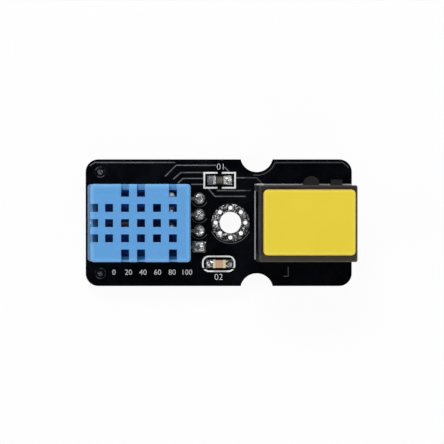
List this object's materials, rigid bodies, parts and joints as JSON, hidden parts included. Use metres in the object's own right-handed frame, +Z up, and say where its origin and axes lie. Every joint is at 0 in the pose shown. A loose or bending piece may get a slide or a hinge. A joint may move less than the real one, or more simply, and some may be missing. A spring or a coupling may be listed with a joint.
{
  "type": "temperature humidity sensor module",
  "caption": "Black circuit module with a blue grille sensor, a tinned mounting hole, chip parts and a black modular jack under a yellow label plate.",
  "frame": {"origin": "axis of the mounting hole at the board's underside", "axes": "+X along the board towards the jack's mouth, +Y across the board towards the resistor's side, +Z up out of the board's component side"},
  "size_m": [0.042, 0.02, 0.0162],
  "materials": {
    "lacquered_board": "black glossy lacquer over glass fibre board",
    "tin": "uneven hot tinned copper",
    "lacquered_copper": "raised copper edge under black lacquer",
    "white_print": "white screen print",
    "blue_shell": "moulded light blue plastic",
    "blue_tray": "moulded light blue plastic",
    "resin": "cast resin",
    "inner_board": "dark circuit board",
    "sensing_film": "coated ceramic plate",
    "pale_ceramic": "fired ceramic",
    "chip_resin": "moulded chip resin",
    "leg_metal": "tinned steel strip",
    "solder": "reflowed solder, uneven",
    "jack_shell": "moulded black plastic",
    "jack_carrier": "moulded black plastic",
    "gilt_wire": "gilt spring wire",
    "yellow_plate": "yellow plastic film",
    "resistor_glaze": "dark glaze",
    "tan_ceramic": "fired tan ceramic"
  },
  "bodies": {
    "root": {"board": "lacquered_board", "mounting_ring": "tin", "sensor_lands": "tin", "jack_lands": "tin", "chip_lands": "tin", "alignment_marks": "tin", "tracks": "lacquered_copper", "legend": "white_print", "sensor_cover": "blue_shell", "sensor_base": "blue_tray", "sensor_potting": "resin", "sensor_board": "inner_board", "humidity_element": "sensing_film", "thermistor": "chip_resin", "sensor_controller": "chip_resin", "sensor_pins": "leg_metal", "sensor_solder": "solder", "jack_housing": "jack_shell", "jack_insert": "jack_carrier", "jack_contacts": "gilt_wire", "jack_solder": "solder", "jack_label": "yellow_plate", "resistor_body": "pale_ceramic", "resistor_film": "resistor_glaze", "resistor_caps": "tin", "resistor_solder": "solder", "capacitor_body": "tan_ceramic", "capacitor_caps": "tin", "capacitor_solder": "solder"}
  },
  "joints": []
}
